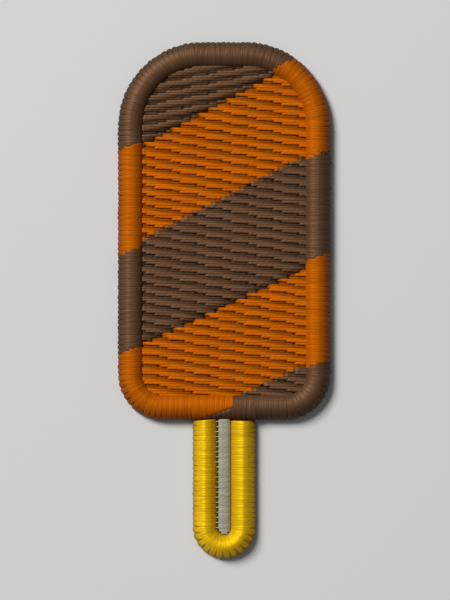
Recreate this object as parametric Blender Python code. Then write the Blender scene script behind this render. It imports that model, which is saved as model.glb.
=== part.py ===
"""A small embroidered patch in the form of an ice pop, lying flat with its stitched face up.

A base of blue cloth carries the stitching: slanting bands of brown and orange fill stitches, a
thick satin-stitched border in the same two colours, and a stick with a yellow satin rim round
a grey middle. +X is the pop's right side, +Y its rounded top and +Z its stitched face. The
origin is on the underside, below the middle of the whole patch.
"""

import math

import bmesh
import bpy
from mathutils import Vector

MM = 0.001

# Plan sizes in millimetres
POP_WIDTH = 16.9
POP_LENGTH = 30.05
TOP_RADIUS = 6.75
BOTTOM_RADIUS = 3.6
STICK_WIDTH = 5.0
STICK_SHOWN = 11.05  # the stick below the pop
COLUMN = 2.0  # the width of a satin border
STITCH_PITCH = 0.4  # from one satin stitch to the next
FILL_PITCH = 0.76  # from one slanting ridge of fill stitches to the next

# Heights in millimetres above the surface that the patch lies on
CLOTH = 0.55
CROWN = 1.5  # the top of a satin border
CORE_CROWN = 1.05  # the top of the stick's grey middle
FILL_CREST = 1.06
FILL_VALLEY = 0.9
LIP = 0.12  # the border's outer edge, which wraps the cloth's cut edge
GAP = 0.08  # between a stitched area and what it lies on or beside

# Small forms of the stitching in millimetres
RIDGE = 0.07  # how far the surface dips between two satin stitches
TOOTH = 0.05  # how far the outline steps back between two satin stitches
LIP_WIDTH = 0.3
CLOTH_INSET = 0.36  # from the border's outer edge to the cloth's cut edge
CROWN_ANGLES = (25, 60, 90, 120, 180)  # degrees round a border's rounded top
FILL_INDENT = 0.15  # how far the grooves stop short of the ridges at a colour's edge
FILL_STEPS = 4  # rows of corners to each ridge and its groove
SHORTEST_ROW = 0.5
BLEND = 4.0  # the length over which the stitches turn to the slant of a border's end

FILL_SLOPE = -10.9  # degrees, the run of the fill's ridges
TOP_FILL_SLOPE = 11.0

# Where the fill changes colour: the height at the middle of the pop and the rise to the right
FILL_EDGES = ((15.96, 0.527), (8.01, 0.524), (-0.33, 0.492), (-7.85, 0.415))

# Where the border changes colour. Lean is how far along the border its inner side runs ahead of
# its outer side, for each millimetre across.
CORNER_CHANGE = (59.3, -0.55)  # degrees round the top right corner, and lean
RIGHT_CHANGES = ((11.54, 0.4), (3.47, 0.35), (-5.04, 0.32))  # height, and lean
BOTTOM_CHANGE = (-0.57, -1.52)  # place across, and lean
LEFT_CHANGES = ((-3.94, 0.39), (3.92, 0.38), (12.25, 0.32))  # height, and lean

BROWN = (0.14, 0.08, 0.05)
ORANGE = (0.58, 0.15, 0.01)
YELLOW = (0.9, 0.58, 0.01)
GREY = (0.38, 0.35, 0.31)
BLUE = (0.01, 0.08, 0.29)

# Worked out from the sizes above
TOP = (POP_LENGTH + STICK_SHOWN) / 2
POP_BOTTOM = TOP - POP_LENGTH
STICK_BOTTOM = -TOP
BASE = CLOTH + GAP
HALF_COLUMN = COLUMN / 2


def empty_scene():
    """Remove whatever the scene starts with."""
    for item in list(bpy.data.objects):
        bpy.data.objects.remove(item)


def thread_material(name, colour, roughness=0.5):
    """A Principled material for one colour of thread or cloth."""
    material = bpy.data.materials.new(name)
    material.use_nodes = True
    shader = material.node_tree.nodes["Principled BSDF"]
    shader.inputs["Base Color"].default_value = (*colour, 1.0)
    shader.inputs["Roughness"].default_value = roughness
    shader.inputs["Metallic"].default_value = 0.0
    material.diffuse_color = (*colour, 1.0)
    return material


def walk(path, distance):
    """The point and the right-hand direction at a distance along a path.

    A path is a start, a heading and its runs. A run is a length and the radius of its bend,
    which is 0 on a straight run and below 0 where it bends to the left. A distance past
    either end of a closed path carries on round it.
    """
    start, heading, runs = path
    here = Vector(start)
    if distance < 0 or distance > path_length(path):
        distance %= path_length(path)
    for length, radius in runs:
        step = min(distance, length)
        if radius:
            centre = here + radius * Vector((math.sin(heading), -math.cos(heading)))
            heading -= step / radius
            here = centre - radius * Vector((math.sin(heading), -math.cos(heading)))
        else:
            here = here + step * Vector((math.cos(heading), math.sin(heading)))
        distance -= step
        if distance <= 0:
            break
    return here, Vector((math.sin(heading), -math.cos(heading)))


def path_length(path):
    """The whole length of a path."""
    return sum(length for length, _ in path[2])


def pop_path(inset):
    """The pop's outline moved inwards, clockwise from the middle of its top edge."""
    half_width = POP_WIDTH / 2 - inset
    top_radius = TOP_RADIUS - inset
    bottom_radius = BOTTOM_RADIUS - inset
    top_run = (half_width - top_radius, 0)
    top_bend = (math.pi / 2 * top_radius, top_radius)
    side_run = (POP_LENGTH - 2 * inset - top_radius - bottom_radius, 0)
    bottom_bend = (math.pi / 2 * bottom_radius, bottom_radius)
    bottom_run = (2 * (half_width - bottom_radius), 0)
    runs = (top_run, top_bend, side_run, bottom_bend, bottom_run)
    back = (bottom_bend, side_run, top_bend, top_run)
    return (0, TOP - inset), 0.0, runs + back


def stick_path(inset):
    """The stick's outline moved inwards, down its left arm, round its end and up its right."""
    radius = STICK_WIDTH / 2 - inset
    arm = (STICK_SHOWN - STICK_WIDTH / 2 - GAP, 0)
    bend = (math.pi * radius, -radius)
    return (-radius, POP_BOTTOM - GAP), -math.pi / 2, (arm, bend, arm)


def right_side(height):
    """The distance along the border's middle line to a height on the pop's right side."""
    runs = pop_path(HALF_COLUMN)[2]
    return runs[0][0] + runs[1][0] + (TOP - TOP_RADIUS - height)


def left_side(height):
    """The distance along the border's middle line to a height on the pop's left side."""
    return path_length(pop_path(HALF_COLUMN)) - right_side(height)


def top_corner(angle):
    """The distance along the border's middle line to an angle round the top right corner."""
    runs = pop_path(HALF_COLUMN)[2]
    return runs[0][0] + runs[1][0] * (90 - angle) / 90


def bottom_side(across):
    """The distance along the border's middle line to a place across the pop's bottom edge."""
    return path_length(pop_path(HALF_COLUMN)) / 2 - across


def loft(name, rings, material, collection):
    """A closed solid through a row of rings that have the same number of points."""
    mesh = bpy.data.meshes.new(name)
    shape = bmesh.new()
    corners = [[shape.verts.new(Vector(point) * MM) for point in ring] for ring in rings]
    count = len(rings[0])
    for first, second in zip(corners, corners[1:]):
        for i in range(count):
            j = (i + 1) % count
            shape.faces.new((first[i], first[j], second[j], second[i]))
    shape.faces.new(corners[0])
    shape.faces.new(corners[-1])
    bmesh.ops.recalc_face_normals(shape, faces=shape.faces[:])
    shape.to_mesh(mesh)
    shape.free()
    mesh.materials.append(material)
    piece = bpy.data.objects.new(name, mesh)
    collection.objects.link(piece)
    return piece


def satin_profile(crest, lip):
    """Across a satin border, from its outer lip over the crown to the inner edge and back.

    Each point is a distance in from the outer edge and a height. A profile between two
    stitches is lower and steps back at the outer edge.
    """
    dip = 0 if crest else RIDGE
    tooth = 0 if crest else TOOTH
    points = [(tooth, lip)]
    for angle in CROWN_ANGLES:
        turn = math.radians(angle)
        across = HALF_COLUMN * (1 - math.cos(turn))
        rise = (CROWN - BASE) * math.sin(turn)
        lowered = dip if angle < 180 else 0
        points.append((across + (tooth if angle < 90 else 0), BASE + rise - lowered))
    points.append((LIP_WIDTH, BASE))
    return points


def lean_at(distance, start, end, leans):
    """The stitches' lean inside a column: its ends' leans, which fade out over the blend."""
    from_start = max(0.0, 1 - (distance - start) / BLEND)
    from_end = max(0.0, 1 - (end - distance) / BLEND)
    return leans[0] * from_start + leans[1] * from_end


def lip_height(point):
    """The lip's height: low beside the cloth's edge, and raised where the stick's cloth passes."""
    over_stick = abs(point.x) < STICK_WIDTH / 2 and abs(point.y - POP_BOTTOM) < GAP / 2
    return BASE + GAP / 2 if over_stick else LIP


def satin(name, path, start, end, leans, side, material, collection):
    """A satin column: the profile carried along a path, with one ridge for each stitch.

    Side is 1 where the column's inner side is on the path's right, and -1 on its left. The
    number of stitches is odd, so one stitch lies across the middle of the column.
    """
    stitches = 2 * round((end - start) / STITCH_PITCH / 2) + 1
    rings = []
    for i in range(2 * stitches + 1):
        distance = start + (end - start) * i / (2 * stitches)
        lean = lean_at(distance, start, end, leans)

        def spot(across):
            inwards = across - HALF_COLUMN
            point, right = walk(path, distance + lean * inwards)
            return point + right * inwards * side

        profile = satin_profile(i % 2 == 1, lip_height(spot(0)))
        rings.append([(*spot(across), height) for across, height in profile])
    return loft(name, rings, material, collection)


def clipped(outline, edge, keep_above):
    """A convex outline cut by a fill edge, with the part above or below it kept."""
    height, slope = edge
    sign = 1 if keep_above else -1
    offset = GAP / 2 * math.hypot(1, slope)

    def inside(point):
        return sign * (point[1] - height - slope * point[0]) - offset

    kept = []
    for first, second in zip(outline, outline[1:] + outline[:1]):
        one, two = inside(first), inside(second)
        if one >= 0:
            kept.append(first)
        if one * two < 0:
            share = one / (one - two)
            kept.append(tuple(a + (b - a) * share for a, b in zip(first, second)))
    return kept


def chord(outline, along, across, offset):
    """Where a row at an offset crosses a convex outline, as two distances along the row."""
    places = []
    for first, second in zip(outline, outline[1:] + outline[:1]):
        one = Vector(first).dot(across) - offset
        two = Vector(second).dot(across) - offset
        if one * two < 0:
            point = Vector(first).lerp(Vector(second), one / (one - two))
            places.append(point.dot(along))
    return (min(places), max(places)) if places else (0, 0)


def fill(name, outline, slope, material, collection):
    """A band of fill stitches: slanting ridges and grooves, lofted from row to row."""
    turn = math.radians(slope)
    along = Vector((math.cos(turn), math.sin(turn)))
    across = Vector((-math.sin(turn), math.cos(turn)))
    offsets = [Vector(point).dot(across) for point in outline]
    step = FILL_PITCH / FILL_STEPS
    rings = []
    for i in range(math.ceil(min(offsets) / step), math.floor(max(offsets) / step) + 1):
        left, right = chord(outline, along, across, i * step)
        if right - left < SHORTEST_ROW:
            continue
        depth = (1 + math.cos(2 * math.pi * i / FILL_STEPS)) / 2
        height = FILL_CREST - (FILL_CREST - FILL_VALLEY) * depth
        indent = FILL_INDENT * depth
        low = along * (left + indent) + across * i * step
        high = along * (right - indent) + across * i * step
        ends = ((low, BASE), (low, height), (high, height), (high, BASE))
        rings.append([(spot.x, spot.y, up) for spot, up in ends])
    return loft(name, rings, material, collection)


def path_points(path, spacing):
    """Points round a closed path, with its bends in steps of about the spacing."""
    points = []
    distance = 0
    for length, radius in path[2]:
        steps = max(1, round(length / spacing)) if radius else 1
        points += [tuple(walk(path, distance + length * i / steps)[0]) for i in range(steps)]
        distance += length
    return points


def cloth_outline():
    """The cloth's cut edge, inside the borders: the right half of pop and stick, then the left."""
    start, heading, runs = pop_path(CLOTH_INSET)
    right = path_points((start, heading, runs[: len(runs) // 2 + 1]), STITCH_PITCH)
    radius = STICK_WIDTH / 2 - CLOTH_INSET
    right.append((radius, POP_BOTTOM + CLOTH_INSET))
    steps = round(math.pi / 2 * radius / STITCH_PITCH)
    for i in range(steps + 1):
        turn = math.pi / 2 * i / steps
        middle = STICK_BOTTOM + STICK_WIDTH / 2
        right.append((radius * math.cos(turn), middle - radius * math.sin(turn)))
    return right + [(-x, y) for x, y in reversed(right) if x > GAP]


def cloth(name, material, collection):
    """The cloth base: a flat outline with the thickness of the cloth and its backing."""
    curve = bpy.data.curves.new(name, "CURVE")
    curve.dimensions = "2D"
    curve.fill_mode = "BOTH"
    curve.extrude = CLOTH / 2 * MM
    points = cloth_outline()
    spline = curve.splines.new("POLY")
    spline.points.add(len(points) - 1)
    for slot, (x, y) in zip(spline.points, points):
        slot.co = (x * MM, y * MM, 0, 1)
    spline.use_cyclic_u = True
    curve.materials.append(material)
    piece = bpy.data.objects.new(name, curve)
    piece.location.z = CLOTH / 2 * MM
    collection.objects.link(piece)
    return piece


def stick_core(name, material, collection):
    """The stick's grey middle: a narrow satin column with a round lower end."""
    half_width = STICK_WIDTH / 2 - COLUMN - GAP
    top = POP_BOTTOM - GAP
    round_bottom = STICK_BOTTOM + COLUMN + GAP
    bottom = round_bottom + GAP
    stitches = round((top - bottom) / STITCH_PITCH)
    rings = []
    for i in range(2 * stitches + 1):
        y = top + (bottom - top) * i / (2 * stitches)
        into_end = max(0.0, round_bottom + half_width - y)
        half = math.sqrt(half_width**2 - into_end**2)
        height = CORE_CROWN - (0 if i % 2 else RIDGE)
        shoulder = BASE + (height - BASE) / 2
        points = ((-half, BASE), (-half, shoulder), (0, height), (half, shoulder), (half, BASE))
        rings.append([(x, y, up) for x, up in points])
    return loft(name, rings, material, collection)


def build():
    """Make every piece of the patch in its own named object."""
    empty_scene()
    collection = bpy.data.collections.new("ice_pop_patch")
    bpy.context.scene.collection.children.link(collection)
    brown = thread_material("brown thread", BROWN)
    orange = thread_material("orange thread", ORANGE)
    yellow = thread_material("yellow thread", YELLOW)
    grey = thread_material("grey thread", GREY)
    blue = thread_material("blue cloth", BLUE, 0.85)

    cloth("cloth_base", blue, collection)

    # The fill between one colour edge and the next, from the top down
    pop_inside = path_points(pop_path(COLUMN + GAP), STITCH_PITCH)
    fills = (
        ("fill_brown_top", brown, TOP_FILL_SLOPE),
        ("fill_orange_upper", orange, FILL_SLOPE),
        ("fill_brown_middle", brown, FILL_SLOPE),
        ("fill_orange_lower", orange, FILL_SLOPE),
        ("fill_brown_corner", brown, FILL_SLOPE),
    )
    for i, (name, material, slope) in enumerate(fills):
        outline = pop_inside
        if i > 0:
            outline = clipped(outline, FILL_EDGES[i - 1], keep_above=False)
        if i < len(FILL_EDGES):
            outline = clipped(outline, FILL_EDGES[i], keep_above=True)
        fill(name, outline, slope, material, collection)

    # The border from one colour change to the next, clockwise from the top right corner
    changes = [(top_corner(CORNER_CHANGE[0]), CORNER_CHANGE[1])]
    changes += [(right_side(height), lean) for height, lean in RIGHT_CHANGES]
    changes += [(bottom_side(BOTTOM_CHANGE[0]), BOTTOM_CHANGE[1])]
    changes += [(left_side(height), lean) for height, lean in LEFT_CHANGES]
    border = pop_path(HALF_COLUMN)
    changes += [(changes[0][0] + path_length(border), changes[0][1])]
    columns = (
        ("border_orange_top_right", orange),
        ("border_brown_right", brown),
        ("border_orange_right", orange),
        ("border_brown_bottom", brown),
        ("border_orange_bottom", orange),
        ("border_brown_left", brown),
        ("border_orange_left", orange),
        ("border_brown_top", brown),
    )
    for (name, material), first, last in zip(columns, changes, changes[1:]):
        ends = (first[0] + GAP / 2, last[0] - GAP / 2)
        satin(name, border, *ends, (first[1], last[1]), 1, material, collection)

    stick = stick_path(HALF_COLUMN)
    satin("stick_rim", stick, 0, path_length(stick), (0, 0), -1, yellow, collection)
    stick_core("stick_core", grey, collection)


build()
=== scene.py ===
"""The looks of an embroidered ice-pop patch: every stitch is a thread of its own.

Sizes are in millimetres until a mesh is written, and places come from the frame's boxes. +X is
the pop's right side, +Y its rounded top and +Z the stitched face.
"""

import math

import bpy
import numpy as np
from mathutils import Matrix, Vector


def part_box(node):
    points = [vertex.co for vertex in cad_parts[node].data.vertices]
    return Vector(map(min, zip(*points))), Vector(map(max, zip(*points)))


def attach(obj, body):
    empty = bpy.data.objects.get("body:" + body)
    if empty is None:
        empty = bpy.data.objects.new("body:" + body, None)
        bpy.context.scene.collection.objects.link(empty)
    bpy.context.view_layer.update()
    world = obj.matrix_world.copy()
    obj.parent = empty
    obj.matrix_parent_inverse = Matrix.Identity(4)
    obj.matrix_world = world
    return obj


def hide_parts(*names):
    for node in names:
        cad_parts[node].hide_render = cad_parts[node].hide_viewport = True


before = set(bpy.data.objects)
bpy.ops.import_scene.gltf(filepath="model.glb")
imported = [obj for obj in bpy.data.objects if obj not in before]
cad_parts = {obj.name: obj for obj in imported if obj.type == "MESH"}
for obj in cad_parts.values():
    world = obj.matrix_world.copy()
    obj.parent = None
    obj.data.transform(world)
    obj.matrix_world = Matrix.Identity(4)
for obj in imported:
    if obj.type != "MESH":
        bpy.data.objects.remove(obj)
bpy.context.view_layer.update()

MM = 0.001
RANDOM = np.random.default_rng(7)


def corners(node):
    """The lowest and highest corner of a node of the frame, in millimetres."""
    return [np.array(corner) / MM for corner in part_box(node)]


# What the frame says
LEFT_LOW, LEFT_HIGH = corners("border_brown_left")
_, TOP_HIGH = corners("border_brown_top")
BOTTOM_LOW, _ = corners("border_brown_bottom")
STICK_LOW, STICK_HIGH = corners("stick_rim")
CORE_LOW, CORE_HIGH = corners("stick_core")
_, FILL_HIGH = corners("fill_orange_upper")
_, CLOTH_HIGH = corners("cloth_base")
POP_HALF = -LEFT_LOW[0]
POP_TOP = TOP_HIGH[1]
POP_BOTTOM = BOTTOM_LOW[1]
STICK_HALF = STICK_HIGH[0]
STICK_BOTTOM = STICK_LOW[1]
CROWN = TOP_HIGH[2]
COLUMN = LEFT_HIGH[0] - LEFT_LOW[0]
CLOTH = CLOTH_HIGH[2]
CLOTH_INSET = POP_HALF - CLOTH_HIGH[0]
FILL_CREST = FILL_HIGH[2]
CORE_CREST = CORE_HIGH[2]

# The outline
TOP_RADIUS = 6.75
BOTTOM_RADIUS = 3.6

# Satin stitching. A share is one of a thread's length, and counts from its nearer end.
SATIN_PITCH = 0.4  # from one pair of satin threads to the next, along the middle of a column
PAIRING = 0.088  # how far the two threads of a pair lean together at an outer needle hole
PAIRING_REACH = 1.4  # and how far in from it
INNER_PAIRING = 0.5  # how far they lean apart at an inner one, as a part of the outer lean
SATIN_WIDTH = 0.36
SATIN_HEIGHT = 0.075
SPREADS = (0.6, 1.05)  # how narrow and wide a thread gets inside and outside a bend
OUTER_PINCH = (0.15, 0.3)  # how much narrower it gets towards its outer end, over what share
INNER_PINCH = (0.1, 0.12)  # and towards its inner end
INNER_DARK = 0.45  # over what share painted shade darkens it towards its inner end
HOLE_SCATTER = 0.012  # how far needle holes stray along a column
END_SCATTER = 0.02  # how far outer ends stray across it
HEIGHT_SCATTER = 0.004
WIDTH_SCATTER = 0.03  # as a part of a thread's width
LIP = 0.2  # the height of a thread where it wraps round the patch's edge
NECK_LIP = 0.64  # and where the border lies on the cloth, above the stick
CLIMB = 0.05  # the share of a thread that climbs the cut edge
OUTER_FOOT = 0.1  # how far above the lip a column's arch springs
BED_GAP = 0.07  # from the middle of a thread to the padding under it
BED_INSET = 0.015  # how far inside the threads' outer ends the padding stays
BED_STEP = 0.25  # from one ring of the padding to the next
# painted shade: how much darker the padding is than its thread
PADDING_PAINTED_SHADE = 0.5
CUT_REACH = 2.8  # how far past the middle of a slanting colour change a thread may stand
CUT_DIVE = (0.08, 0.05)  # how deep a thread dives there, over what share
SHORTEST_CUT = 0.16  # the shortest share of a thread that is sewn there
NUDGE = 0.01  # a small step along a path, to see how far threads spread there
ARCH_POINTS = 200  # where an arch is looked up
SATIN_POINTS = 28  # along a satin thread
BED_POINTS = 13  # across a column's padding

# The crown's place across a column, the power of the arch outside it, the height above the
# cloth where the arch comes down inside and how far it has turned there
BORDER_FORM = (0.54, 1.0, 0.38, math.radians(58))
RIM_FORM = (0.5, 1.75, 0.2, math.radians(35))

# Painted shade: how much darker a thread is painted at its outer end, over what share, and how
# much at its inner end
BORDER_PAINTED_SHADE = (0.65, 0.5, 0.1)
RIM_PAINTED_SHADE = (0.72, 0.38, 0.2)

# The core
CORE_MORE = 0.06  # how much further down than its solid it ends
CORE_TUCK = 0.03  # how far its threads run in beside the rim
RIGHT_TUCK = 0.04  # and how much further on the right
CORE_DROPS = (0.06, 0.1)  # how far they come down on the left and right
CORE_TILT = 0.15  # how far they zigzag, as a part of the pitch
CORE_FLATNESS = 0.6  # their height, as a part of a satin thread's
CORE_PADDING = 0.25  # how far its bed lies under its crest
HAIR_LENGTHS = (0.14, 0.24)  # of the thin ends on the left
HAIR_ENTRY = 0.05  # how soon a thread gets thin
HAIR_THINNING = 0.8
CORE_POINTS = 24  # along a thread

# Fill stitching
ROW_PITCH = 0.194  # from one row of threads to the next
FILL_STITCH = 4.048  # from one needle hole of a row to the next
ROW_SHIFTS = np.array((0, 17.1, 25.5, 42.6)) / 51 * FILL_STITCH  # of four rows, again and again
FILL_START = (-1.56, 12.83)  # a needle hole of the orange upper and the brown middle band
LOWER_FILL_START = (-2.55, 12.83)  # one of the two bands below them
TOP_FILL_START = (-1.27, 16.385)  # one of the band above them
FILL_TUCK = 0.22  # how far the fill runs in under the border
FILL_WIDTH = 0.26
FILL_HEIGHT = 0.14
SHORTEST_FILL = 0.3
OVERLAP = 0.05  # how far a thread runs past its last needle hole
STITCH_SCATTER = 0.03  # how far the needle holes stray along a row
ROW_SCATTER = 0.012  # how far a thread strays to the side and in height
BUNCHING = 0.06  # how far a fill thread starts and ends to one side of its row
SLANT = 2.5  # how steeply it crosses over between them
SINK_LEAD = 0.55  # how far before its middle it starts to sink, as a part of its groove
SUNK = 0.84  # the part of a stitch after which it has sunk
GROOVE_ENTRY = 0.45  # the length over which it goes down into its groove
RISE_LENGTH = 0.25  # the length over which it comes up at its start
DIVE_LENGTH = 0.15  # and goes down at its end
VALLEYS = (0.7, 1.3)  # how far the fill sinks and is painted darker right and left of a colour edge
SINK_DEPTH, GROOVE_DEPTH, VALLEY_DEPTH, RISE_DEPTH, DIVE_DEPTH = 0.1, 0.04, 0.1, 0.15, 0.1
# Painted shade: how much darker a thread is painted where it has sunk, near a colour edge and
# where it comes up
SINK_DARK, VALLEY_DARK, RISE_DARK = 0.5, 0.4, 0.35
FILL_PAINTED_LIGHT = 1.2  # painted light: how much brighter than their dye the threads are painted, before that painted shade
FILL_BED = 0.66  # the height of the flat bed under the threads
# Painted shade: how much darker than their thread the beds under the fill and the core are
BED_PAINTED_SHADE = 0.6
BED_FOOT = CLOTH - 0.1  # where the beds of the fill and the core end, inside the cloth
FILL_POINTS = 40  # along a fill thread

# Where the fill changes colour: the height at the middle of the pop and the rise to the right
FILL_EDGES = ((15.8, 0.535), (8.19, 0.512), (-0.48, 0.463), (-8.1, 0.463))

# Where the border changes colour: its place on the pop, and how far along the border its inner
# side runs ahead of its outer side for each millimetre across. The bottom's runs straight
# across inside the middle.
CORNER_CHANGE = (59.3, -0.55)  # degrees round the top right corner, and lean
RIGHT_CHANGES = ((11.54, 0.4), (3.47, 0.35), (-5.04, 0.32))  # height, and lean
BOTTOM_CHANGE = (0.68, -2.7, 0.0)  # place across the pop, lean and stop
LEFT_CHANGES = ((-3.94, 0.39), (3.92, 0.38), (12.25, 0.32))  # height, and lean
NO_STOP = -COLUMN  # further back than any lean takes an end

AROUND = 10  # corners round a thread


def smooth(x):
    """A smooth step: 3 x squared less 2 x cubed between 0 and 1, and level outside."""
    x = np.clip(x, 0, 1)
    return x * x * (3 - 2 * x)


def trace(path, distance):
    """Points and right-hand directions at distances along a path of straight runs and bends.

    A run is a length and a bend radius, 0 where it is straight and below 0 where it turns
    left. On a straight run a point is the run's start plus the heading times the distance.
    On a bend it is the centre less the radius times the right-hand direction, which turns
    by the distance over the radius.
    """
    start, heading, runs, closed = path
    distance = np.asarray(distance, float)
    if closed:
        distance = distance % path_length(path)
    here = np.array(start, float)
    points = np.zeros((*distance.shape, 2))
    rights = np.zeros_like(points)
    passed = 0.0
    for number, (length, radius) in enumerate(runs):
        beyond = distance >= passed if number else np.full(distance.shape, True)
        step = distance - passed
        right = np.array((math.sin(heading), -math.cos(heading)))
        if radius:
            turned = heading - step / radius
            spot_rights = np.stack((np.sin(turned), -np.cos(turned)), -1)
            spots = here + radius * (right - spot_rights)
            heading -= length / radius
            here = here + radius * (right - np.array((math.sin(heading), -math.cos(heading))))
        else:
            ahead = np.array((math.cos(heading), math.sin(heading)))
            spot_rights = np.broadcast_to(right, points.shape)
            spots = here + step[..., None] * ahead
            here = here + length * ahead
        points[beyond] = spots[beyond]
        rights[beyond] = spot_rights[beyond]
        passed += length
    return points, rights


def path_length(path):
    """The whole length of a path."""
    return sum(length for length, _ in path[2])


def pop_path(inset):
    """The pop's outline moved inwards, clockwise from the middle of its top edge."""
    half = POP_HALF - inset
    top = TOP_RADIUS - inset
    bottom = BOTTOM_RADIUS - inset
    side = POP_TOP - POP_BOTTOM - 2 * inset - top - bottom
    down = ((half - top, 0), (math.pi / 2 * top, top), (side, 0), (math.pi / 2 * bottom, bottom))
    runs = (*down, (2 * (half - bottom), 0), *reversed(down))
    return (0, POP_TOP - inset), 0.0, runs, True


def stick_path(inset):
    """The stick's outline moved inwards, down its left arm, round its end and up its right."""
    radius = STICK_HALF - inset
    arm = (POP_BOTTOM - STICK_BOTTOM - STICK_HALF, 0)
    runs = (arm, (math.pi * radius, -radius), arm)
    return (-radius, POP_BOTTOM), -math.pi / 2, runs, False


BORDER = pop_path(COLUMN / 2)
STICK = stick_path(COLUMN / 2)


def right_side(height):
    """The distance along the border's middle line to a height on the right side."""
    return BORDER[2][0][0] + BORDER[2][1][0] + (POP_TOP - TOP_RADIUS - height)


def left_side(height):
    """The distance along the border's middle line to a height on the left side."""
    return path_length(BORDER) - right_side(height)


def skin(rings, painted_shades_and_tones):
    """Closed tubes from an array of rings: tubes by steps by corners by three.

    Faces join each ring to the next, and strips of faces close the two end rings. A corner's
    UV is the length run along the tube in millimetres and its share of the way round.
    """
    tubes, steps, around, _ = rings.shape
    index = np.arange(tubes * steps * around).reshape(tubes, steps, around)
    ahead = np.roll(index, -1, axis=2)
    walls = np.stack((index[:, :-1], ahead[:, :-1], ahead[:, 1:], index[:, 1:]), -1)
    pairs = np.arange(around // 2 - 1)
    strip = np.stack((pairs, pairs + 1, around - 2 - pairs, around - 1 - pairs), -1)
    ends = np.concatenate((index[:, 0][:, strip][..., ::-1], index[:, -1][:, strip]))
    faces = np.concatenate((walls.reshape(-1, 4), ends.reshape(-1, 4)))

    middles = rings.mean(2)
    run = np.linalg.norm(np.diff(middles, axis=1), axis=2)
    along = np.concatenate((np.zeros((tubes, 1)), np.cumsum(run, axis=1)), axis=1)
    turn = np.arange(around + 1) / around
    low, high = along[:, :-1, None], along[:, 1:, None]
    shape = (tubes, steps - 1, around)
    spots = ((low, turn[:-1]), (low, turn[1:]), (high, turn[1:]), (high, turn[:-1]))
    wall_uvs = np.stack([np.stack([np.broadcast_to(part, shape) for part in spot], -1)
                         for spot in spots], -2)
    uvs = np.concatenate((wall_uvs.reshape(-1, 2), np.zeros((ends.size, 2))))
    # each corner takes its tube's random brightness times its painted shade and painted light
    spread = np.broadcast_to(np.asarray(painted_shades_and_tones, float)[..., None], index.shape)
    return rings.reshape(-1, 3), faces, uvs, spread.reshape(-1)


def threads(lines, sides, widths, heights, shade=1.0):
    """Threads as closed tubes: an ellipse carried along each line.

    Lines are threads by points by three, and sides are each thread's level unit direction
    across itself. A corner lies at the line's point, plus half the width times the cosine of
    its angle along the side, plus half the height times its sine along the direction that is
    square to both the side and the line. Each thread's brightness is its own at random, times
    the painted shade and painted light laid along it.
    """
    tangents = np.gradient(lines, axis=1)
    tangents /= np.linalg.norm(tangents, axis=2, keepdims=True)
    across = np.broadcast_to(sides[:, None, :], lines.shape)
    upward = np.cross(tangents, across)
    angles = 2 * np.pi * np.arange(AROUND) / AROUND
    wide = (widths[..., None] / 2 * np.cos(angles))[..., None]
    tall = (heights[..., None] / 2 * np.sin(angles))[..., None]
    rings = lines[:, :, None] + across[:, :, None] * wide + upward[:, :, None] * tall
    return skin(rings, RANDOM.uniform(0.92, 1.08, (len(lines), 1)) * shade)


def new_piece(name, mesh, material, body_slot, node):
    """Put a mesh in the scene in the place of a node of the frame."""
    mesh.materials.append(material)
    piece = bpy.data.objects.new(name, mesh)
    bpy.context.scene.collection.objects.link(piece)
    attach(piece, "root")
    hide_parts(node)
    return piece


def write_piece(name, parts, material, body_slot, node):
    """One mesh object from several parts, in the place of a node of the frame."""
    counts = np.cumsum([0] + [len(part[0]) for part in parts])
    points = np.concatenate([part[0] for part in parts])
    faces = np.concatenate([part[1] + count for part, count in zip(parts, counts)])
    uvs = np.concatenate([part[2] for part in parts])
    painted_shades_and_tones = np.concatenate([part[3] for part in parts])
    mesh = bpy.data.meshes.new(name)
    mesh.vertices.add(len(points))
    mesh.vertices.foreach_set("co", (points * MM).astype(np.float32).ravel())
    mesh.loops.add(faces.size)
    mesh.loops.foreach_set("vertex_index", faces.astype(np.int32).ravel())
    mesh.polygons.add(len(faces))
    mesh.polygons.foreach_set("loop_start", np.arange(0, faces.size, 4, dtype=np.int32))
    mesh.polygons.foreach_set("use_smooth", np.ones(len(faces), bool))
    mesh.uv_layers.new(name="thread").data.foreach_set("uv", uvs.astype(np.float32).ravel())
    # per point: the painted shade and painted light, with the thread's random brightness
    painted_shade_and_tone = mesh.attributes.new("painted_shade_and_tone", "FLOAT", "POINT")
    painted_shade_and_tone.data.foreach_set("value", painted_shades_and_tones.astype(np.float32))
    mesh.update()
    mesh.validate()
    return new_piece(name, mesh, material, body_slot, node)


def satin_arch(t, lip, form):
    """Across a satin column: how far in from its outer edge, and how high.

    The first part climbs the cut edge from the lip. From there a quarter of an ellipse goes up
    to the crown, its height's share raised to the form's power, and a shorter arc of a flatter
    one down to the inner edge.
    """
    crest = form[0] * COLUMN
    crown = CROWN - SATIN_HEIGHT / 2
    up = np.pi / 2 * np.clip((t - CLIMB) / (0.5 - CLIMB), 0, 1)
    down = form[3] * np.clip(2 * t - 1, 0, 1)
    across = crest - (crest - SATIN_HEIGHT / 2) * np.cos(up)
    across = across + (COLUMN - SATIN_HEIGHT / 2 - crest) * np.sin(down) / math.sin(form[3])
    foot = lip + OUTER_FOOT * np.clip(t / CLIMB, 0, 1)
    fall = (1 - np.cos(down)) / (1 - math.cos(form[3]))
    height = foot + (crown - foot) * np.sin(up) ** form[1] - (crown - CLOTH - form[2]) * fall
    return across, height


def cut(change, across):
    """Where a column ends along its path: its place plus its lean for each millimetre across
    from the middle, and no further back than its stop."""
    place, lean, stop = change
    return place + np.maximum(lean * (across - COLUMN / 2), stop)


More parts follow.
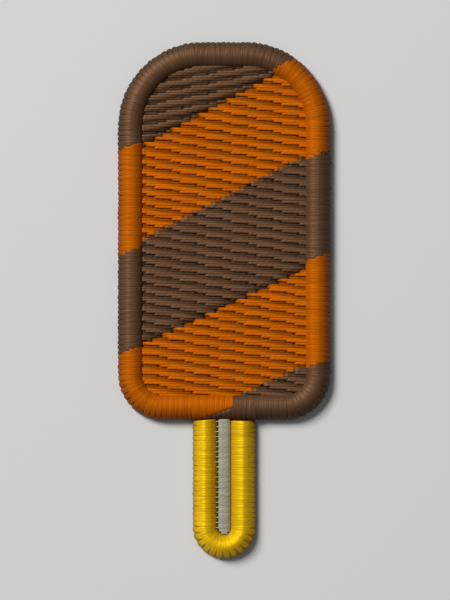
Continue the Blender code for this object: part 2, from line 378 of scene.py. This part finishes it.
def satin_threads(path, start, end, side, lips, form, painted_shade):
    """The threads of a satin column, back and forth between the needle holes at its two edges.

    A thread runs straight from its outer to its inner needle hole and follows the arch.
    Threads leave the outer edge in pairs, and meet their other neighbour at the inner edge.
    A column's ends may slant, and there a thread stops short and dives. A thread's width
    grows with the space that a bend gives it, and threads are painted darker near the holes,
    a painted shade on the flanks of the arch.
    """
    step = SATIN_PITCH / 2
    reach = CUT_REACH if start[1] or end[1] else 0
    number = np.arange(int((end[0] - start[0] + 2 * reach) / step))
    middle = start[0] - reach + step * (number + 0.5)
    lean = np.where(number % 2, -PAIRING, PAIRING)
    outer = middle + RANDOM.normal(0, HOLE_SCATTER, len(number))
    inner = middle + RANDOM.normal(0, HOLE_SCATTER, len(number))

    t = np.linspace(0, 1, ARCH_POINTS)
    across = satin_arch(t, LIP, form)[0]
    run = outer[:, None] + (inner - outer)[:, None] * across / COLUMN
    kept = (run >= cut(start, across)) & (run <= cut(end, across))
    low = t[kept.argmax(1)]
    high = t[len(t) - 1 - kept[:, ::-1].argmax(1)]
    sewn = kept.any(1) & (high - low > SHORTEST_CUT)
    low, high, outer, inner, lean = (values[sewn, None]
                                     for values in (low, high, outer, inner, lean))

    t = low + (high - low) * np.linspace(0, 1, SATIN_POINTS)
    across, height = satin_arch(t, lips(trace(path, outer)[0]), form)
    outside = 1 - smooth(t / OUTER_PINCH[1])
    across = across + RANDOM.normal(0, END_SCATTER, low.shape) * outside
    dive = (1 - smooth((t - low) / CUT_DIVE[1])) * (low > 0)
    dive = dive + (1 - smooth((high - t) / CUT_DIVE[1])) * (high < 1)
    height = height - CUT_DIVE[0] * dive + RANDOM.normal(0, HEIGHT_SCATTER, low.shape)
    run = outer + (inner - outer) * across / COLUMN
    run = run + lean * (smooth(1 - across / PAIRING_REACH)
                        - INNER_PAIRING * smooth(1 - (COLUMN - across) / PAIRING_REACH))
    points, rights = trace(path, run)
    plan = points + rights * (across - COLUMN / 2)[..., None] * side
    points, rights = trace(path, run + NUDGE)
    ahead = points + rights * (across - COLUMN / 2)[..., None] * side
    spread = np.clip(np.linalg.norm(ahead - plan, axis=-1) / NUDGE, *SPREADS)
    lines = np.concatenate((plan, height[..., None]), -1)
    heading = plan[:, -1] - plan[:, 0]
    heading /= np.linalg.norm(heading, axis=1, keepdims=True)
    sides = np.stack((heading[:, 1], -heading[:, 0], np.zeros(len(heading))), -1)
    pinch = 1 - OUTER_PINCH[0] * outside
    pinch = pinch - INNER_PINCH[0] * (1 - smooth((1 - t) / INNER_PINCH[1]))
    widths = SATIN_WIDTH * spread * pinch * RANDOM.normal(1, WIDTH_SCATTER, low.shape)
    # painted shade: darker towards the outer end and towards the inner end
    shade = 1 - painted_shade[0] * (1 - smooth(t / painted_shade[1]))
    shade = shade - painted_shade[2] * (1 - smooth((1 - t) / INNER_DARK))
    return threads(lines, sides, widths, np.full_like(widths, SATIN_HEIGHT), shade)


def satin_bed(path, start, end, side, lips, form):
    """The padding under a satin column: its arch, lowered, carried from one slanting end to
    the other and closed underneath."""
    steps = max(2, int((end[0] - start[0]) / BED_STEP))
    t = np.linspace(0, 1, BED_POINTS)
    underside = (1.5, 1.0, 0.5)
    across = np.concatenate((satin_arch(t, LIP, form)[0], underside))
    first, last = cut(start, across), cut(end, across)
    points, rights = trace(path, first + (last - first) * np.linspace(0, 1, steps)[:, None])
    inward = across + BED_INSET * (1 - across / COLUMN) - COLUMN / 2
    plan = points + rights * inward[:, None] * side
    top = satin_arch(t, lips(plan[:, :1]), form)[1] - BED_GAP
    low = np.full((steps, len(underside)), LIP - BED_GAP)
    height = np.concatenate((top, low), 1)
    rings = np.concatenate((plan, height[..., None]), -1)
    # the padding is painted darker than its thread: painted shade in the gaps between threads
    return skin(rings[None, :, ::side], [[PADDING_PAINTED_SHADE]])


def satin(name, path, start, end, side, lips, form, painted_shade, material, body_slot):
    """A satin column with its padding."""
    parts = [satin_threads(path, start, end, side, lips, form, painted_shade),
             satin_bed(path, start, end, side, lips, form)]
    return write_piece(name + "_threads", parts, material, body_slot, name)


def border_lip(spots):
    """The height of the border's outer side: low round the cut edge, high above the stick."""
    over_stick = (np.abs(spots[..., 0]) < STICK_HALF) & (spots[..., 1] < 0)
    return np.where(over_stick, NECK_LIP, LIP)


def stick_lip(spots):
    """The height of the rim's outer side: low all the way."""
    return np.full(spots.shape[:-1], LIP)


def chords(y, above, below, inset):
    """The left and right ends of rows at heights y inside the pop's inner outline.

    The outline's half width is that of its straight sides, less what its round corners take.
    The colour edge above cuts a row's left side, and the one below its right side.
    """
    top, bottom = POP_TOP - inset, POP_BOTTOM + inset
    top_radius, bottom_radius = TOP_RADIUS - inset, BOTTOM_RADIUS - inset
    into_top = np.clip(y - (top - top_radius), 0, top_radius)
    into_bottom = np.clip(bottom + bottom_radius - y, 0, bottom_radius)
    lost = top_radius - np.sqrt(top_radius**2 - into_top**2)
    lost = lost + bottom_radius - np.sqrt(bottom_radius**2 - into_bottom**2)
    right = POP_HALF - inset - lost
    left = -right
    if above:
        left = np.maximum(left, (y - above[0]) / above[1])
    if below:
        right = np.minimum(right, (y - below[0]) / below[1])
    return left, np.where((y > top) | (y < bottom), left - 1, right)


def slab(left, right, y, top, painted_shade_and_tone):
    """A flat bed between left and right ends at falling heights y, closed underneath."""
    ends = np.stack((left, right, right, left), -1)
    heights = np.broadcast_to((top, top, BED_FOOT, BED_FOOT), ends.shape)
    rings = np.stack((ends, np.broadcast_to(y[:, None], ends.shape), heights), -1)
    return skin(rings[None, :, ::-1], [[painted_shade_and_tone]])


def fill(name, above, below, start, shifts, sinks, material, body_slot):
    """Rows of long fill stitches over a flat bed.

    A row's needle holes are a stitch apart, from the start moved on by that row's shift.
    A thread comes up at once, and from about its middle on it sinks and is painted darker,
    a painted shade. Its last part, from where the row beside it starts afresh, lies in a
    groove, and all threads slant a little away from those starts. Rows turn back in pairs, so
    a band's ends are stepped. The sinks say how deep the band gets at the colour edges on its
    left and right and how much painted shade darkens it there, and below 0 it gets higher and
    is painted brighter there, a painted light.
    """
    inset = COLUMN - FILL_TUCK
    rows = np.arange(-40, 200)  # more than the pop has room for
    y = start[1] - ROW_PITCH * rows
    turn_y = start[1] - ROW_PITCH * (2 * (rows // 2) + 0.5)
    left, right = chords(turn_y, above, below, inset)
    edges = [(turn_y - edge[0]) / edge[1] if edge else 0 * turn_y for edge in (above, below)]
    hole_x = start[0] + shifts[rows % 4][:, None] + FILL_STITCH * np.arange(-4, 6)
    low = np.maximum(hole_x[:, :-1], left[:, None])
    high = np.minimum(hole_x[:, 1:], right[:, None])
    sewn = high - low > SHORTEST_FILL
    groove = np.minimum((shifts - np.roll(shifts, 1)) % FILL_STITCH,
                        (shifts - np.roll(shifts, -1)) % FILL_STITCH)[rows % 4]
    y, groove, *edges = (np.broadcast_to(values[:, None], low.shape)[sewn][:, None]
                         for values in (y, groove, *edges))
    first_hole = hole_x[:, :-1][sewn][:, None]
    low = low[sewn][:, None] + RANDOM.normal(0, STITCH_SCATTER, y.shape)
    high = high[sewn][:, None] + RANDOM.normal(OVERLAP, STITCH_SCATTER, y.shape)
    first_hole = np.minimum(first_hole + RANDOM.normal(0, STITCH_SCATTER, y.shape), low)

    x = low + (high - low) * (1 - np.cos(np.pi * np.linspace(0, 1, FILL_POINTS))) / 2
    passed = x - first_hole
    level = FILL_STITCH / 2 - SINK_LEAD * groove
    sunk = smooth((passed - level) / (SUNK * FILL_STITCH - level))
    lying = smooth((passed - FILL_STITCH + groove) / GROOVE_ENTRY + 0.5)
    rise = 1 - smooth((x - low) / RISE_LENGTH)
    dive = 1 - smooth((high - x) / DIVE_LENGTH)
    valley = (sinks[0] * (1 - smooth((x - edges[0]) / VALLEYS[0]))
              + sinks[1] * (1 - smooth((edges[1] - x) / VALLEYS[1])))
    z = FILL_CREST - FILL_HEIGHT / 2 - SINK_DEPTH * sunk
    z = z - GROOVE_DEPTH * lying - VALLEY_DEPTH * valley - RISE_DEPTH * rise
    z = z - DIVE_DEPTH * dive + RANDOM.normal(0, ROW_SCATTER, low.shape)
    lean = np.clip(1 - SLANT * passed / FILL_STITCH, -1, 1) * (1 - 0.5 * rise) + 0.5 * lying
    lean = lean * BUNCHING * np.sign(shifts[1])
    lines = np.stack((x, y + lean + RANDOM.normal(0, ROW_SCATTER, low.shape), z), -1)
    sides = np.tile((0.0, -1.0, 0.0), (len(lines), 1))
    widths = FILL_WIDTH * (1 - 0.3 * rise + 0.2 * lying)
    widths = widths * RANDOM.normal(1, WIDTH_SCATTER, low.shape)
    # Painted light lifts the threads above their dye; painted shade darkens them where they have
    # sunk, near a colour edge and where they come up, and a sink below 0 paints them brighter.
    shade = FILL_PAINTED_LIGHT * (1 - SINK_DARK * sunk) * (1 - VALLEY_DARK * valley)
    if sinks[0] >= 0:
        shade = shade * (1 - RISE_DARK * rise)
    parts = [threads(lines, sides, widths, np.full_like(widths, FILL_HEIGHT), shade)]

    y = np.linspace(POP_TOP - inset, POP_BOTTOM + inset, 300)
    left, right = chords(y, above, below, inset)
    inside = right - left > 0.3
    parts.append(slab(left[inside], right[inside], y[inside], FILL_BED, BED_PAINTED_SHADE))
    return write_piece(name + "_threads", parts, material, body_slot, name)


def core(name, material, body_slot):
    """The stick's core: level threads across it, down to its round end.

    A thread's ends come down by the cube of their share of the half width. Every second one
    has a hair on its left, a thin end that climbs over the arch of the rim. The hairs are
    painted brighter, a painted highlight.
    """
    half = CORE_HIGH[0]
    end = CORE_LOW[1] - CORE_MORE

    def half_width(y):
        """Half the core's width at a height, as on a circle where the end is round."""
        into_end = np.clip(end + half - y, 0, half)
        return np.sqrt(half**2 - into_end**2)

    y = np.arange(POP_BOTTOM - 0.1, end + 0.05, -SATIN_PITCH / 2)
    wide = half_width(y)[:, None] + CORE_TUCK
    longer = (np.arange(len(y)) % 2 == 0)[:, None] * (wide > 0.8 * half)
    left = -wide - longer * RANDOM.uniform(*HAIR_LENGTHS, wide.shape)
    t = np.linspace(0, 1, CORE_POINTS)
    x = left + (wide + RIGHT_TUCK - left) * t
    hair = smooth((-x - half) / HAIR_ENTRY) * longer
    drop = np.where(x > 0, CORE_DROPS[1], CORE_DROPS[0])
    z = CORE_CREST - SATIN_HEIGHT / 2 - drop * (np.abs(x) / half) ** 3 * (1 - hair)
    rim_across, rim_height = satin_arch(np.linspace(0, 1, ARCH_POINTS), LIP, RIM_FORM)
    over_rim = np.interp(STICK_HALF + x, rim_across, rim_height) + SATIN_HEIGHT / 2
    z = np.maximum(z, over_rim * hair) + RANDOM.normal(0, HEIGHT_SCATTER, left.shape)
    tilt = CORE_TILT * np.where(longer > 0, 1, -1) * (t - 0.5) * SATIN_PITCH
    lines = np.stack((x, y[:, None] + tilt, z), -1)
    sides = np.tile((0.0, -1.0, 0.0), (len(lines), 1))
    widths = SATIN_WIDTH * (1 - HAIR_THINNING * hair)
    widths = widths * RANDOM.normal(1, WIDTH_SCATTER, left.shape)
    heights = SATIN_HEIGHT * (CORE_FLATNESS + 0.3 * hair)
    # the hairs are painted brighter than their thread: a painted highlight
    parts = [threads(lines, sides, widths, heights, 1 + 0.4 * hair)]
    y = np.linspace(POP_BOTTOM, end + 0.02, 60)
    top = CORE_CREST - CORE_PADDING
    parts.append(slab(-half_width(y), half_width(y), y, top, BED_PAINTED_SHADE))
    return write_piece(name + "_threads", parts, material, body_slot, name)


def cloth_outline(inset):
    """The outline of the pop and its stick together, moved inwards, clockwise from the top."""
    pop, stick = pop_path(inset), stick_path(inset)
    pop_end = path_length(pop) / 2 - (STICK_HALF - inset)
    down, _ = trace(pop, np.linspace(0.01, pop_end, 150))
    round_end, _ = trace(stick, np.linspace(path_length(stick), path_length(stick) / 2, 60)[:-1])
    right = np.concatenate((down, round_end))
    return np.concatenate((right, right[::-1] * (-1, 1)))


def cloth(material):
    """The cut cloth under the stitches: its outline at four levels, with soft corners
    between its faces and its cut edge, and one face for each side."""
    levels = ((0.05, 0.0), (0.0, 0.06), (0.0, CLOTH - 0.06), (0.05, CLOTH))
    rings = []
    for more, height in levels:
        outline = cloth_outline(CLOTH_INSET + more)[::-1]
        rings.append(np.column_stack((outline, np.full(len(outline), height))))
    count = len(rings[0])
    index = np.arange(len(levels) * count).reshape(len(levels), count)
    ahead = np.roll(index, -1, axis=1)
    walls = np.stack((index[:-1], ahead[:-1], ahead[1:], index[1:]), -1).reshape(-1, 4)
    mesh = bpy.data.meshes.new("cloth")
    mesh.from_pydata(np.concatenate(rings) * MM, [],
                     [*walls.tolist(), index[-1].tolist(), index[0, ::-1].tolist()])
    piece = new_piece("cloth", mesh, material, "blue_cloth", "cloth_base")
    x, y = cloth_outline(CLOTH_INSET).T * MM


def new_group(name, inputs, outputs):
    """An empty shader node group with its named sockets, and its input and output nodes."""
    group = bpy.data.node_groups.new(name, "ShaderNodeTree")
    for title, kind, value in inputs:
        socket = group.interface.new_socket(title, in_out="INPUT", socket_type=kind)
        socket.default_value = value
    for title, kind in outputs:
        group.interface.new_socket(title, in_out="OUTPUT", socket_type=kind)
    return group, group.nodes.new("NodeGroupInput"), group.nodes.new("NodeGroupOutput")


def calculator(tree):
    """A function that adds a math node to a tree and gives its output."""
    def calculate(operation, *values):
        node = tree.nodes.new("ShaderNodeMath")
        node.operation = operation
        for socket, value in zip(node.inputs, values):
            if isinstance(value, (int, float)):
                socket.default_value = value
            else:
                tree.links.new(value, socket)
        return node.outputs[0]
    return calculate


def twisted_thread():
    """The effect shared by all threads: two plies of fine filaments, twisted together.

    The ply wave is the sine of the turns round the thread plus the length over the twist.
    The filaments are noise drawn out along the same twist. Both lift the thread's surface,
    and the filaments darken its grooves with painted shade. The shade attribute, each
    thread's random brightness times the painted shade and painted light laid along it,
    scales its dye.
    """
    group, given, result = new_group(
        "twisted_thread",
        (("Dye", "NodeSocketColor", (1, 1, 1, 1)), ("Twist", "NodeSocketFloat", 0.9),
         ("Groove", "NodeSocketFloat", 0.25), ("Roughness", "NodeSocketFloat", 0.5)),
        (("Color", "NodeSocketColor"), ("Roughness", "NodeSocketFloat"),
         ("Height", "NodeSocketFloat")))
    calculate = calculator(group)
    link = group.links.new
    place = group.nodes.new("ShaderNodeUVMap")
    place.uv_map = "thread"
    split = group.nodes.new("ShaderNodeSeparateXYZ")
    link(place.outputs[0], split.inputs[0])
    painted_shade_and_tone = group.nodes.new("ShaderNodeAttribute")
    painted_shade_and_tone.attribute_name = "painted_shade_and_tone"
    along, turned = split.outputs[0], split.outputs[1]
    twisted = calculate("ADD", turned, calculate("DIVIDE", along, given.outputs["Twist"]))
    angle = calculate("MULTIPLY", twisted, 2 * math.pi)
    wave = calculate("SINE", calculate("MULTIPLY", angle, 2))
    ply = calculate("MULTIPLY_ADD", wave, 0.5, 0.5)
    drawn = group.nodes.new("ShaderNodeCombineXYZ")
    link(calculate("MULTIPLY", calculate("COSINE", angle), 3.5), drawn.inputs[0])
    link(calculate("MULTIPLY", calculate("SINE", angle), 3.5), drawn.inputs[1])
    spread = calculate("MULTIPLY", painted_shade_and_tone.outputs["Fac"], 90)
    link(calculate("MULTIPLY_ADD", along, 1.5, spread), drawn.inputs[2])
    noise = group.nodes.new("ShaderNodeTexNoise")
    noise.inputs["Scale"].default_value = 1
    noise.inputs["Detail"].default_value = 2
    link(drawn.outputs[0], noise.inputs["Vector"])
    strand = noise.outputs["Fac"]
    height = calculate("ADD", calculate("MULTIPLY", ply, 0.5), strand)
    link(height, result.inputs["Height"])
    link(calculate("MULTIPLY_ADD", strand, 0.2, given.outputs["Roughness"]),
         result.inputs["Roughness"])
    # painted shade: darker in the grooves between the filaments
    dark = calculate("MULTIPLY", given.outputs["Groove"], calculate("SUBTRACT", 1, strand))
    # the shade attribute scales the dye: painted shade and painted light, with random brightness
    shade = calculate("MULTIPLY", painted_shade_and_tone.outputs["Fac"], calculate("SUBTRACT", 1, dark))
    mixed = group.nodes.new("ShaderNodeVectorMath")
    mixed.operation = "SCALE"
    link(given.outputs["Dye"], mixed.inputs[0])
    link(shade, mixed.inputs["Scale"])
    link(mixed.outputs[0], result.inputs["Color"])
    return group


TWISTED_THREAD = twisted_thread()


def thread_material(name, dye, sheen_tint, gloss, roughness):
    """Dyed embroidery thread. Its gloss takes the colour of its dye, as a metal's does, because
    the light passes through the filaments."""
    material = bpy.data.materials.new(name)
    material.use_nodes = True
    nodes, link = material.node_tree.nodes, material.node_tree.links.new
    shader = nodes["Principled BSDF"]
    effect = nodes.new("ShaderNodeGroup")
    effect.node_tree = TWISTED_THREAD
    effect.inputs["Dye"].default_value = (*dye, 1)
    relief = nodes.new("ShaderNodeBump")
    effect.inputs["Roughness"].default_value = roughness
    relief.inputs["Strength"].default_value = 0.5
    relief.inputs["Distance"].default_value = 0.02 * MM
    link(effect.outputs["Color"], shader.inputs["Base Color"])
    link(effect.outputs["Roughness"], shader.inputs["Roughness"])
    link(effect.outputs["Height"], relief.inputs["Height"])
    link(relief.outputs["Normal"], shader.inputs["Normal"])
    shader.inputs["Metallic"].default_value = gloss
    shader.inputs["Specular IOR Level"].default_value = 0.25
    shader.inputs["Specular Tint"].default_value = (*sheen_tint, 1)
    return material


def woven_cloth(name, dye):
    """Plain-woven cloth: over and under waves of its threads along X and Y."""
    material = bpy.data.materials.new(name)
    material.use_nodes = True
    nodes, link = material.node_tree.nodes, material.node_tree.links.new
    calculate = calculator(material.node_tree)
    shader = nodes["Principled BSDF"]
    place = nodes.new("ShaderNodeTexCoord")
    split = nodes.new("ShaderNodeSeparateXYZ")
    link(place.outputs["Object"], split.inputs[0])
    waves = [calculate("SINE", calculate("MULTIPLY", split.outputs[axis], math.pi / (0.3 * MM)))
             for axis in (0, 1)]
    weave = calculate("MULTIPLY_ADD", calculate("MULTIPLY", *waves), 0.5, 0.5)
    # the ramp paints the low points of the weave darker: painted shade
    ramp = nodes.new("ShaderNodeValToRGB")
    ramp.color_ramp.elements[0].color = (*(0.6 * part for part in dye), 1)
    ramp.color_ramp.elements[1].color = (*dye, 1)
    relief = nodes.new("ShaderNodeBump")
    relief.inputs["Strength"].default_value = 0.6
    relief.inputs["Distance"].default_value = 0.05 * MM
    link(weave, ramp.inputs[0])
    link(ramp.outputs[0], shader.inputs["Base Color"])
    link(weave, relief.inputs["Height"])
    link(relief.outputs["Normal"], shader.inputs["Normal"])
    shader.inputs["Roughness"].default_value = 0.85
    return material


brown = thread_material("brown_thread", (0.163, 0.0815, 0.0402), (0.75, 0.54, 0.39), 0.33, 0.43)
orange = thread_material("orange_thread", (0.6, 0.132, 0.002), (1, 0.5, 0.05), 0.2, 0.5)
yellow = thread_material("yellow_thread", (1, 0.6, 0.008), (1, 0.8, 0.1), 0.35, 0.45)
grey = thread_material("grey_thread", (0.45, 0.405, 0.312), (1, 0.95, 0.85), 0.2, 0.5)
blue = woven_cloth("blue_cloth", (0.01, 0.085, 0.3))

bands = (
    ("fill_brown_top", None, FILL_EDGES[0], TOP_FILL_START, -ROW_SHIFTS, (0, 1), brown,
     "brown_thread"),
    ("fill_orange_upper", FILL_EDGES[0], FILL_EDGES[1], FILL_START, ROW_SHIFTS, (1, 0), orange,
     "orange_thread"),
    ("fill_brown_middle", FILL_EDGES[1], FILL_EDGES[2], FILL_START, ROW_SHIFTS, (-0.8, 1), brown,
     "brown_thread"),
    ("fill_orange_lower", FILL_EDGES[2], FILL_EDGES[3], LOWER_FILL_START, ROW_SHIFTS, (1, 0),
     orange, "orange_thread"),
    ("fill_brown_corner", FILL_EDGES[3], None, LOWER_FILL_START, ROW_SHIFTS, (-0.8, 0), brown,
     "brown_thread"),
)
sewn = [fill(*band) for band in bands]

corner_at = BORDER[2][0][0] + BORDER[2][1][0] * (90 - CORNER_CHANGE[0]) / 90
changes = [(corner_at, CORNER_CHANGE[1], NO_STOP)]
changes += [(right_side(height), lean, NO_STOP) for height, lean in RIGHT_CHANGES]
changes += [(path_length(BORDER) / 2 - BOTTOM_CHANGE[0], *BOTTOM_CHANGE[1:])]
changes += [(left_side(height), lean, NO_STOP) for height, lean in LEFT_CHANGES]
changes += [(changes[0][0] + path_length(BORDER), *changes[0][1:])]
columns = (
    ("border_orange_top_right", orange, "orange_thread"),
    ("border_brown_right", brown, "brown_thread"),
    ("border_orange_right", orange, "orange_thread"),
    ("border_brown_bottom", brown, "brown_thread"),
    ("border_orange_bottom", orange, "orange_thread"),
    ("border_brown_left", brown, "brown_thread"),
    ("border_orange_left", orange, "orange_thread"),
    ("border_brown_top", brown, "brown_thread"),
)
for (name, material, body_slot), first, last in zip(columns, changes, changes[1:]):
    sewn.append(satin(name, BORDER, first, last, 1, border_lip, BORDER_FORM, BORDER_PAINTED_SHADE,
                      material, body_slot))

sewn.append(satin("stick_rim", STICK, (0.05, 0, 0), (path_length(STICK) - 0.05, 0, 0), -1,
                  stick_lip, RIM_FORM, RIM_PAINTED_SHADE, yellow, "yellow_thread"))
sewn.append(core("stick_core", grey, "grey_thread"))
cloth(blue)


# The floor, the lights and the camera
bpy.ops.mesh.primitive_plane_add(size=3, location=(0, 0, 0))
floor = bpy.context.object
floor.name = "floor"
pale = bpy.data.materials.new("pale_floor")
pale.use_nodes = True
pale.node_tree.nodes["Principled BSDF"].inputs["Base Color"].default_value = (0.75, 0.75, 0.74, 1)
pale.node_tree.nodes["Principled BSDF"].inputs["Roughness"].default_value = 0.9
floor.data.materials.append(pale)


def area_light(name, azimuth, elevation, distance, size, power):
    """A square lamp that faces the patch, from a direction in degrees and a distance."""
    lamp = bpy.data.lights.new(name, "AREA")
    lamp.size = size
    lamp.energy = power
    holder = bpy.data.objects.new(name, lamp)
    a, e = math.radians(azimuth), math.radians(elevation)
    away = Vector((math.cos(a) * math.cos(e), math.sin(a) * math.cos(e), math.sin(e)))
    holder.location = away * distance
    holder.rotation_euler = away.to_track_quat("Z", "Y").to_euler()
    bpy.context.scene.collection.objects.link(holder)


area_light("key", azimuth=135, elevation=46, distance=1.0, size=0.35, power=10.0)
world = bpy.data.worlds.new("studio")
world.use_nodes = True
world.node_tree.nodes["Background"].inputs["Color"].default_value = (1, 1, 1, 1)
world.node_tree.nodes["Background"].inputs["Strength"].default_value = 0.12
bpy.context.scene.world = world

PHOTO_SCALE = 12.6  # the photograph's pixels to a millimetre
PHOTO_HEIGHT = 600
PHOTO_MIDDLE = (0.067, 0.028)  # where the photograph's middle lies on the patch
FACE = 1.0  # the height that the scale holds at
LENS = 200
SENSOR = 36
camera_data = bpy.data.cameras.new("camera")
camera_data.lens = LENS
camera_data.sensor_width = SENSOR
camera_data.clip_start = 0.01
camera = bpy.data.objects.new("camera", camera_data)
bpy.context.scene.collection.objects.link(camera)
distance = PHOTO_HEIGHT / PHOTO_SCALE * LENS / SENSOR + FACE
camera.location = Vector((*PHOTO_MIDDLE, distance)) * MM
bpy.context.scene.camera = camera
bpy.context.scene.view_settings.view_transform = "Standard"
